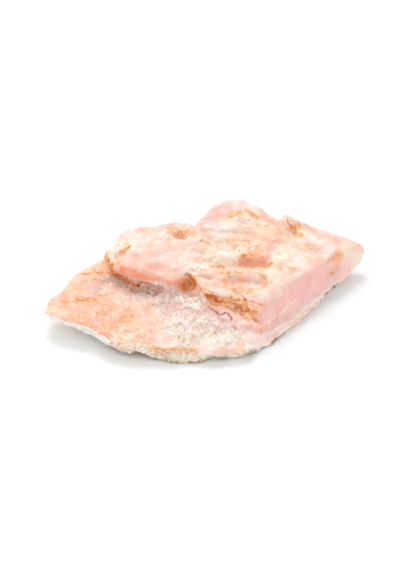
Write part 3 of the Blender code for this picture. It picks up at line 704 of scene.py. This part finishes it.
# %% Add up the relief
# Chips: size, tilt and seed. Noises: size, height and seed.
CHIPS = ((4.2, 0.07, 111), (1.9, 0.07, 121))
RIPPLES = ((7.0, 2.2, 2.2), 0.05, 151)
FINE_CRUMBLE = (0.75, 0.07, 141)
CRUST_LUMPS = (0.9, 0.12, 131)
CRUST_THICKNESS = 0.10
RUST_DEPTH = 0.16
CRACK_DEPTH = 0.30
PIN_DEPTH = 0.25
LIP_HEIGHT = 0.20
TEXTURE_HEIGHT = 0.10
SPLINTER_HEIGHT = 0.34
STREAK_HEIGHT = 0.12
BED_HEIGHT = 0.17


def chipped(places, size, tilt, seed):
    """Each cell tilts its own way: the height is its random direction's share of the way from its
    centre, so that neighbouring cells meet in small steps."""
    way, turn = cell_noise(places, size, seed)
    turn = turn / np.linalg.norm(turn, axis=1, keepdims=True)
    return size * tilt * np.einsum("ij,ij->i", way, turn)


def bumpy(size, height, seed):
    """Smooth noise of that height at the skin's points."""
    return height * smooth_noise(points, size, seed)


roughness = np.clip(0.45 + 0.6 * lavender + 0.4 * amber + 0.4 * crust, 0.0, 1.2)
roughness *= 1.0 - 0.85 * clear_stone
relief = bumpy(*RIPPLES)
for size, tilt, seed in CHIPS:
    relief += (0.15 + 0.85 * np.clip(roughness, 0.0, 1.0)) * chipped(ragged, size, tilt, seed)
relief += by_ground(TEXTURE_HEIGHT * roughness, SPLINTER_HEIGHT, STREAK_HEIGHT, BED_HEIGHT) * texture
relief += roughness * bumpy(*FINE_CRUMBLE)
relief += crust * (CRUST_THICKNESS + bumpy(*CRUST_LUMPS))
relief += LIP_HEIGHT * lips - RUST_DEPTH * rust - CRACK_DEPTH * cracks - PIN_DEPTH * pins

moved = points + normals * relief[:, None]
moved[:, 2] = np.maximum(moved[:, 2], 0.0)
stone.data.vertices.foreach_set("co", (moved * MM).ravel())
stone.data.update()
print("relief, mm: from", round(float(relief.min()), 2), "to", round(float(relief.max()), 2))

# %% [markdown]
# ## Hollows and edges
# Water carries rust into hollows, and edges get rubbed pale. On top of that the hollows get painted
# shade, darker and more orange, and the edges a paler painted highlight. Both follow from the shape
# alone: the finished skin is compared with its surroundings at two sizes, half a millimetre for the
# pores and a millimetre and a half for the feet of steps. The shares in the sums are given.

# %% Find the hollows and edges
PORE_ROUNDS = 4
PORE_DEPTH = 0.05
STEP_ROUNDS = 30
STEP_DEPTH = 0.30

facing = read(stone.data.vertices, "normal", 3)
pores = -standing_out(moved, facing, PORE_ROUNDS) / PORE_DEPTH
steps = -standing_out(moved, facing, STEP_ROUNDS) / STEP_DEPTH
# hollow is rust stain and painted shade in recesses; edge is rubbed wear and a painted highlight.
hollow = np.clip(0.5 * pores + 0.35 * steps, 0.0, 1.0)
edge = np.clip(-0.5 * pores - 0.5 * steps, 0.0, 1.0)
weathered = np.clip(0.25 + 0.6 * straw + 0.9 * amber + 0.4 * roughness, 0.0, 1.0) * (1.0 - clear_stone)
straw = np.clip(straw + 0.25 * edge * weathered, 0.0, 1.0)
amber = np.clip(amber + 0.3 * hollow * weathered * (1.0 - crust), 0.0, 1.0)
crust = np.clip(crust - 0.25 * hollow, 0.0, 1.0)
hollow *= (1.0 - 0.7 * clear_stone) * (1.0 - 0.6 * crust)
creased = np.clip(0.8 * straw + 0.9 * amber + 0.5 * peach + 0.4 * roughness, 0.0, 1.0)
creased *= 1.0 - clear_stone
print("hollow, edge:", means(hollow, edge))

# %% [markdown]
# ## Fields as attributes
# Each field is stored on the mesh as a named attribute, a number for each point, which Blender
# blends across the faces and the material reads by name.

# %% Store the fields
FIELDS = dict(
    rose=rose, salmon=salmon, peach=peach, lavender=lavender, straw=straw, amber=amber,
    flecks=flecks, crust=crust, chalk_and_highlight=chalk_and_highlight, lips=lips, ochre=ochre, foot_shade=foot_shade, hollow=hollow,
    rust=rust, dark=dark, creased=creased,
)


def store_field(mesh, name, values):
    attribute = mesh.attributes.new(name, "FLOAT", "POINT")
    attribute.data.foreach_set("value", values.astype(np.float32))


for name, values in FIELDS.items():
    store_field(stone.data, name, values)
stone.data.polygons.foreach_set("use_smooth", np.ones(len(stone.data.polygons), dtype=bool))
print("attributes:", ", ".join(FIELDS))

# %% [markdown]
# ## Node groups
# Effects that come back are node groups, built once and placed with values of their own: the *ragged
# edge* of every field, the *creases* that rust leaves in cracks, coloured darker as painted crevice
# shade, a *mottle* of two close colours, a dark *speckle*, and the *grain* of fine crystals for the bump.

# %% Small helpers for nodes
NUMBER, COLOUR = "NodeSocketFloat", "NodeSocketColor"
WHITE, GREY, BLACK = (1.0, 1.0, 1.0, 1.0), (0.5, 0.5, 0.5, 1.0), (0.0, 0.0, 0.0, 1.0)


def tone(red, green, blue):
    """A colour off a chart, 0 to 255, as the linear numbers that shaders use."""
    chart = np.array([red, green, blue]) / 255.0
    linear = np.where(chart <= 0.04045, chart / 12.92, ((chart + 0.055) / 1.055) ** 2.4)
    return (*linear.tolist(), 1.0)


def feed(tree, socket, value):
    """Links a socket's value into another socket, or sets a plain value on it."""
    if isinstance(value, bpy.types.NodeSocket):
        tree.links.new(value, socket)
    else:
        socket.default_value = value


def add_node(tree, kind, output, values, **settings):
    """One output of a new node. Values are given by input, and keywords are the node's settings."""
    node = tree.nodes.new("ShaderNode" + kind)
    for label, value in settings.items():
        setattr(node, label, value)
    for label, value in values.items():
        feed(tree, node.inputs[label], value)
    return node.outputs[output]


def add_math(tree, operation, first, second=0.0):
    return add_node(tree, "Math", "Value", {0: first, 1: second}, operation=operation)


def times(tree, first, second):
    return add_math(tree, "MULTIPLY", first, second)


def add_noise(tree, size, detail=2.0, finer=1.0):
    """Noise on Object coordinates, which are metres; its Scale is finer * 1000 / size in mm."""
    place = add_node(tree, "TexCoord", "Object", {})
    scale = add_math(tree, "DIVIDE", finer * 1000.0, size)
    return add_node(tree, "TexNoise", "Fac", {"Vector": place, "Scale": scale, "Detail": detail})


def add_mix(tree, share, first, second):
    """A colour Mix node, whose colours are its inputs 6 and 7."""
    return add_node(tree, "Mix", 2, {0: share, 6: first, 7: second}, data_type="RGBA")


def add_spread(tree, value, low, high):
    """Map Range from low..high to 0..1, smoothed."""
    given = {"Value": value, "From Min": low, "From Max": high}
    return add_node(tree, "MapRange", "Result", given, interpolation_type="SMOOTHSTEP")


def place_group(tree, group, **values):
    """The group as a node in a material; each keyword feeds the input of that name."""
    return add_node(tree, "Group", 0, values, node_tree=group)


print("charted white is linear", tone(255, 255, 255)[:3])

# %% Build the node groups
FIELD_GATE = (0.0, 0.2)
CREASE_PIECES = (0.48, 0.6)
MOTTLE_CONTRAST = (0.36, 0.64)
SPECKLE_CONTRAST = (0.45, 0.7)


def ragged_edge(tree, field, size, raggedness, softness):
    """Mask = smooth step of Field + (noise - 0.5) x Raggedness, from 0.5 - Softness to 0.5 + Softness.
    The noise fades out where the field is nothing, so no stray dots lie outside it."""
    centred = add_math(tree, "SUBTRACT", add_noise(tree, size, detail=3.0), 0.5)
    shake = times(tree, centred, raggedness)
    shake = times(tree, shake, add_spread(tree, field, *FIELD_GATE))
    low, high = add_math(tree, "SUBTRACT", 0.5, softness), add_math(tree, "ADD", 0.5, softness)
    return add_spread(tree, add_math(tree, "ADD", field, shake), low, high)


def creases(tree, density, size, width):
    """Mask = thin lines where noise crosses its middle, in short pieces, as dense as Density."""
    lines = add_noise(tree, size, detail=4.0)
    pieces = add_noise(tree, size, detail=1.0, finer=0.7)
    middle = add_math(tree, "ABSOLUTE", add_math(tree, "SUBTRACT", lines, 0.5))
    line = add_spread(tree, middle, width, 0.0)
    mask = times(tree, line, add_spread(tree, pieces, *CREASE_PIECES))
    return times(tree, mask, density)


def mottle(tree, first, second, size):
    """Color = a blend of First and Second by noise whose contrast is raised."""
    share = add_spread(tree, add_noise(tree, size, detail=4.0), *MOTTLE_CONTRAST)
    return add_mix(tree, share, first, second)


def speckle(tree, colour, size, amount):
    """Color = Color darkened here and there by fine noise, by Amount at most."""
    share = add_spread(tree, add_noise(tree, size), *SPECKLE_CONTRAST)
    return add_mix(tree, times(tree, share, amount), colour, BLACK)


def grain(tree, size):
    """Height = noise at Size, plus noise at a third of it at half strength."""
    fine = times(tree, add_noise(tree, size, finer=3.0), 0.5)
    return add_math(tree, "ADD", add_noise(tree, size), fine)


def group_of(effect, output, kind, **inputs):
    """A node group whose one output the effect makes from its inputs, in their order."""
    group = bpy.data.node_groups.new(effect.__name__.replace("_", " "), "ShaderNodeTree")
    for label, value in inputs.items():
        sort = COLOUR if isinstance(value, tuple) else NUMBER
        group.interface.new_socket(label, in_out="INPUT", socket_type=sort).default_value = value
    group.interface.new_socket(output, in_out="OUTPUT", socket_type=kind)
    sockets = group.nodes.new("NodeGroupInput").outputs
    made = effect(group, *(sockets[label] for label in inputs))
    feed(group, group.nodes.new("NodeGroupOutput").inputs[0], made)
    return group


RAGGED_EDGE = group_of(ragged_edge, "Mask", NUMBER, Field=0.0, Size=0.4, Raggedness=0.6, Softness=0.2)
CREASES = group_of(creases, "Mask", NUMBER, Density=0.0, Size=1.2, Width=0.03)
MOTTLE = group_of(mottle, "Color", COLOUR, First=WHITE, Second=GREY, Size=1.0)
SPECKLE = group_of(speckle, "Color", COLOUR, Color=WHITE, Size=0.3, Amount=0.1)
GRAIN = group_of(grain, "Height", NUMBER, Size=0.4)
print("groups:", ", ".join(group.name for group in bpy.data.node_groups))

# %% [markdown]
# ## The opal's finish
# Milky opal scatters light a millimetre or so deep, so the shader has a little subsurface light, with
# red going deepest. Its breaks are waxy, and the crust on it is dry. The colours go on in layers: the
# stone's own tints, the matrix, its stains, the crust and chalk with one painted highlight, then
# painted shade at the feet of walls and rims and in hollows, rust, and dark specks with a painted
# contact shadow. Rust-coloured creases also paint the shade in crevices.

# %% The stone's material
# Field, first and second colour, mottle size, edge size, raggedness and softness, and strength.
LAYERS = (
    ("rose", (248, 184, 178), (251, 198, 190), 3.0, 0.5, 0.25, 0.40, 0.85),
    ("salmon", (254, 150, 116), (252, 168, 140), 3.0, 0.8, 0.35, 0.50, 0.95),
    ("peach", (242, 174, 136), (245, 192, 168), 1.6, 0.5, 0.60, 0.45, 0.90),
    ("lavender", (220, 186, 184), (234, 204, 202), 1.3, 0.5, 0.60, 0.35, 0.95),
    ("straw", (253, 242, 228), (252, 233, 206), 1.8, 0.9, 0.70, 0.60, 0.70),
    ("amber", (252, 188, 128), (252, 208, 164), 0.9, 0.5, 1.10, 0.35, 0.80),
    ("flecks", (236, 146, 76), (242, 172, 106), 0.5, 0.7, 1.90, 0.15, 0.80),
    ("crust", (248, 228, 206), (252, 238, 218), 1.2, 0.6, 0.90, 0.40, 0.30),
    ("crust", (255, 254, 250), (255, 238, 208), 0.7, 0.85, 2.60, 0.10, 0.95),
    # chalky white, with one painted highlight on the rim's right end
    ("chalk_and_highlight", (255, 253, 248), (253, 244, 228), 0.9, 0.8, 1.60, 0.20, 0.95),
    ("lips", (254, 232, 214), (252, 222, 200), 1.2, 1.4, 0.60, 0.45, 0.75),
    ("ochre", (200, 158, 104), (216, 182, 136), 0.8, 0.4, 1.10, 0.30, 0.75),
    # painted shade at the rim's foot and under the slab's wall
    ("foot_shade", (138, 116, 92), (188, 162, 138), 0.7, 0.6, 1.40, 0.35, 0.80),
    # rust stain and painted shade in the recesses
    ("hollow", (246, 172, 126), (250, 194, 154), 0.8, 0.5, 1.00, 0.35, 0.28),
    ("rust", (214, 108, 36), (238, 146, 72), 0.7, 0.4, 1.20, 0.35, 0.88),
    # cracks, pin holes, and the painted contact shadow at the long face's foot
    ("dark", (84, 66, 58), (120, 94, 78), 0.5, 0.3, 0.60, 0.30, 0.85),
)
PALE_PINK = (249, 226, 219)
WARM_PINK = (246, 205, 185)
CREASE_RUST_AND_SHADE = (226, 146, 88)
TINT_SIZE = 4.0
CREASE_SIZE = 1.6
CREASE_WIDTH = 0.04
CREASE_STRENGTH = 0.75
SPECKLE_SIZE = 0.35
SPECKLE_AMOUNT = 0.06
GRAIN_SIZE = 0.35
WAXY_GRAIN = 0.15
WAXY_ROUGHNESS = 0.42
DRY_ROUGHNESS = 0.85
DRY_FIELDS = ("lavender", "straw", "crust", "chalk_and_highlight", "ochre", "rust")
SCATTER_DEPTH = 1.0
BUMP_HEIGHT = 0.06


def new_material(name, **finish):
    """A material and its shader; a keyword sets the input of that name, with _ for a space."""
    material = bpy.data.materials.new(name)
    material.use_nodes = True
    surface = material.node_tree.nodes["Principled BSDF"]
    for label, value in finish.items():
        surface.inputs[label.replace("_", " ")].default_value = value
    return material, material.node_tree, surface


def read_field(tree, name):
    return add_node(tree, "Attribute", "Fac", {}, attribute_name=name)


def mottled(tree, first, second, size):
    return place_group(tree, MOTTLE, First=tone(*first), Second=tone(*second), Size=size)


def add_bump(tree, surface, height):
    """Relief too fine for the skin's points, which only turns the shader's normal."""
    bump = add_node(tree, "Bump", "Normal", {"Distance": BUMP_HEIGHT * MM, "Height": height})
    feed(tree, surface.inputs["Normal"], bump)


def painted(tree, colour, layer):
    """The layer's mottled paint over a colour, and the mask that it went through."""
    name, first, second, size, edge_size, raggedness, softness, strength = layer
    given = {"Field": read_field(tree, name), "Size": edge_size, "Raggedness": raggedness}
    edge = place_group(tree, RAGGED_EDGE, Softness=softness, **given)
    mask = times(tree, edge, strength)
    return add_mix(tree, mask, colour, mottled(tree, first, second, size)), mask


def opal_finish():
    """Base Color from the layers, the creases and the speckle; roughness and grain from the dry ones."""
    material, tree, surface = new_material(
        "pink opal", Subsurface_Weight=0.3, Subsurface_Radius=(1.0, 0.45, 0.3),
        Subsurface_Scale=SCATTER_DEPTH * MM, Specular_IOR_Level=0.4,
    )
    colour, dryness = mottled(tree, PALE_PINK, WARM_PINK, TINT_SIZE), 0.0
    for layer in LAYERS:
        colour, mask = painted(tree, colour, layer)
        if layer[0] in DRY_FIELDS:
            dryness = add_math(tree, "MAXIMUM", dryness, mask)
    # The creases are rust lines in cracks, and their colour also paints the crevices' shade.
    creased = times(tree, read_field(tree, "creased"), CREASE_STRENGTH)
    lines = place_group(tree, CREASES, Density=creased, Size=CREASE_SIZE, Width=CREASE_WIDTH)
    colour = add_mix(tree, lines, colour, tone(*CREASE_RUST_AND_SHADE))
    speckled = place_group(tree, SPECKLE, Color=colour, Size=SPECKLE_SIZE, Amount=SPECKLE_AMOUNT)
    feed(tree, surface.inputs["Base Color"], speckled)
    given = {"Value": dryness, "To Min": WAXY_ROUGHNESS, "To Max": DRY_ROUGHNESS}
    feed(tree, surface.inputs["Roughness"], add_node(tree, "MapRange", "Result", given))
    grain_share = add_math(tree, "ADD", dryness, WAXY_GRAIN)
    height = times(tree, place_group(tree, GRAIN, Size=GRAIN_SIZE), grain_share)
    add_bump(tree, surface, add_math(tree, "SUBTRACT", height, lines))
    return material


stone.data.materials.append(opal_finish())
print("colour layers:", len(LAYERS))

# %% [markdown]
# ## Crumbs of crust
# The crust is grains, up to a third of a millimetre across, stuck to the stone. A relief can't
# undercut, so the largest ones are pieces of their own: one twelve-cornered grain is turned, squashed
# and set down thousands of times where the crust is strong, and sunk by part of its size.

# %% Scatter the crumbs
# Each kind: how many, their radii and the seed.
CREAM = (3200, (0.07, 0.17), 161)
RUSTY = (1000, (0.06, 0.14), 171)
CRUMB_SINK = 0.25
CRUMB_SLIDE = 0.12
CRUMB_SQUASH = (0.6, 1.25)
CRUMB_BULGE = (0.8, 1.2)


def grain_form():
    """The twelve corners and twenty faces of an icosahedron, pointing outwards."""
    shape = bmesh.new()
    bmesh.ops.create_icosphere(shape, subdivisions=1, radius=1.0)
    corners = np.array([corner.co[:] for corner in shape.verts])
    faces = np.array([[corner.index for corner in face.verts] for face in shape.faces])
    shape.free()
    return corners, faces


def random_turns(count, rng):
    """Rotations from random unit quaternions (w, v): (w^2 - v.v) I + 2 v v^T + 2 w [v]x."""
    quaternions = rng.normal(size=(count, 4, 1))
    quaternions /= np.linalg.norm(quaternions, axis=1, keepdims=True)
    w, v = quaternions[:, :1], quaternions[:, 1:]
    row = v.transpose(0, 2, 1)
    return (w * w - row @ v) * np.eye(3) + 2 * v * row + 2 * w * np.cross(np.eye(3), row)


def scatter(name, weight, count, radii, seed):
    """Grain = corner x squash x bulge x radius, turned, plus its place on the skin less its sink."""
    rng = np.random.default_rng(seed)
    spots = rng.choice(len(moved), size=count, replace=False, p=weight / weight.sum())
    radius = radii[0] + (radii[1] - radii[0]) * rng.random(count) ** 2
    corners, faces = grain_form()
    squash = rng.uniform(*CRUMB_SQUASH, (count, 1, 3))
    bulge = rng.uniform(*CRUMB_BULGE, (count, len(corners), 1))
    local = corners[None] * squash * bulge * radius[:, None, None]
    grains = np.einsum("nij,nkj->nki", random_turns(count, rng), local)
    slide = rng.uniform(-CRUMB_SLIDE, CRUMB_SLIDE, (count, 3))
    centre = moved[spots] + slide - normals[spots] * (CRUMB_SINK * radius)[:, None]
    centre[:, 2] = np.maximum(centre[:, 2], -grains[:, :, 2].min(axis=1))
    places = (grains + centre[:, None, :]).reshape(-1, 3)
    sides = (faces[None] + (np.arange(count) * len(corners))[:, None, None]).reshape(-1, 3)
    mesh = bpy.data.meshes.new(name)
    mesh.from_pydata(places * MM, [], sides, shade_flat=False)
    store_field(mesh, "shade", np.repeat(rng.random(count), len(corners)))
    return add_object(name, mesh)


up_facing = ramp(normals[:, 2], -0.6, 0.2)
crusty = crust**2 * up_facing * (0.15 + lavender + 0.6 * ground["rim"] + ground["plate"])
stained = np.maximum(rust, amber) ** 2 * up_facing * (1.0 - clear_stone)
cream_crumbs = scatter("cream_crumbs", crusty, *CREAM)
rusty_crumbs = scatter("rusty_crumbs", stained, *RUSTY)
print("crumb faces:", len(cream_crumbs.data.polygons), len(rusty_crumbs.data.polygons))

# %% [markdown]
# ## The crumbs' finish
# The grains are dry, and no two are alike: a random shade blends each one from chalk to cream for
# the crust, and from pale orange to rust for the stained ones.

# %% Crumb materials
CRUST_PALE = ((255, 253, 248), (255, 244, 230))
CRUST_WARM = ((253, 234, 206), (249, 219, 180))
RUST_PALE = ((244, 200, 152), (238, 178, 118))
RUST_WARM = ((224, 150, 88), (196, 116, 64))
SHADE_RANGE = (0.35, 0.95)
CRUMB_MOTTLE = 0.5
CRUMB_GRAIN = 0.15


def crumb_finish(name, pale, warm):
    """Base Color = pale to warm by the grain's shade; each of the two is itself mottled."""
    material, tree, surface = new_material(
        name, Roughness=DRY_ROUGHNESS, Subsurface_Weight=0.2, Subsurface_Scale=0.2 * MM
    )
    share = add_spread(tree, read_field(tree, "shade"), *SHADE_RANGE)
    first, second = mottled(tree, *pale, CRUMB_MOTTLE), mottled(tree, *warm, CRUMB_MOTTLE)
    feed(tree, surface.inputs["Base Color"], add_mix(tree, share, first, second))
    add_bump(tree, surface, place_group(tree, GRAIN, Size=CRUMB_GRAIN))
    return material


cream_crumbs.data.materials.append(crumb_finish("crust crumbs", CRUST_PALE, CRUST_WARM))
rusty_crumbs.data.materials.append(crumb_finish("rusty crumbs", RUST_PALE, RUST_WARM))
print("materials:", ", ".join(material.name for material in bpy.data.materials))

# %% [markdown]
# ## Table and light
# The stone lies on white paper. The sky is a white dome, which fills every hollow, and a soft lamp
# behind the stone draws its shadow out to the front. Two weaker lamps at the sides lift the shade.
# The Standard view keeps white paper white.

# %% Table, lamps and sky
PAPER_SIZE = 6.0
PAPER_DROP = 0.02
PAPER_TONES = ((247, 249, 250), (245, 248, 249), 30.0)
# Each lamp: its place, size and power.
LAMPS = (
    ((-0.06, 0.38, 0.44), 0.28, 1.34),
    ((-0.48, -0.10, 0.20), 0.60, 0.70),
    ((0.46, -0.20, 0.18), 0.60, 0.51),
)
SKY_STRENGTH = 0.77


def paper_finish():
    material, tree, surface = new_material("white paper", Roughness=0.9, Specular_IOR_Level=0.1)
    feed(tree, surface.inputs["Base Color"], mottled(tree, *PAPER_TONES))
    return material


def paper_sheet():
    """One square that lies a hair below the stone's foot, so that their faces never coincide."""
    half, foot = PAPER_SIZE / 2, -PAPER_DROP * MM
    mesh = bpy.data.meshes.new("paper")
    corners = [(-half, -half, foot), (half, -half, foot), (half, half, foot), (-half, half, foot)]
    mesh.from_pydata(corners, [], [(0, 1, 2, 3)])
    mesh.materials.append(paper_finish())
    return add_object("paper", mesh)


def soft_lamp(place, size, power):
    """A round lamp that shines from its place towards the stone."""
    lamp = bpy.data.lights.new("soft lamp", "AREA")
    lamp.shape, lamp.size, lamp.energy = "DISK", size, power
    holder = add_object("soft lamp", lamp)
    holder.location = place
    holder.rotation_euler = Vector(place).to_track_quat("Z", "Y").to_euler()


def white_sky():
    scene.world = bpy.data.worlds.new("white sky")
    scene.world.use_nodes = True
    background = scene.world.node_tree.nodes["Background"]
    background.inputs["Color"].default_value = WHITE
    background.inputs["Strength"].default_value = SKY_STRENGTH


paper = paper_sheet()
for lamp in LAMPS:
    soft_lamp(*lamp)
white_sky()
scene.view_settings.view_transform = "Standard"
print("lamps:", len(LAMPS))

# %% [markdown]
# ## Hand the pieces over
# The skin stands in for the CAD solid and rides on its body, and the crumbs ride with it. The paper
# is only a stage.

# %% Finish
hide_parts(STONE_NODE)
for piece in (stone, cream_crumbs, rusty_crumbs):
    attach(piece, BODY)
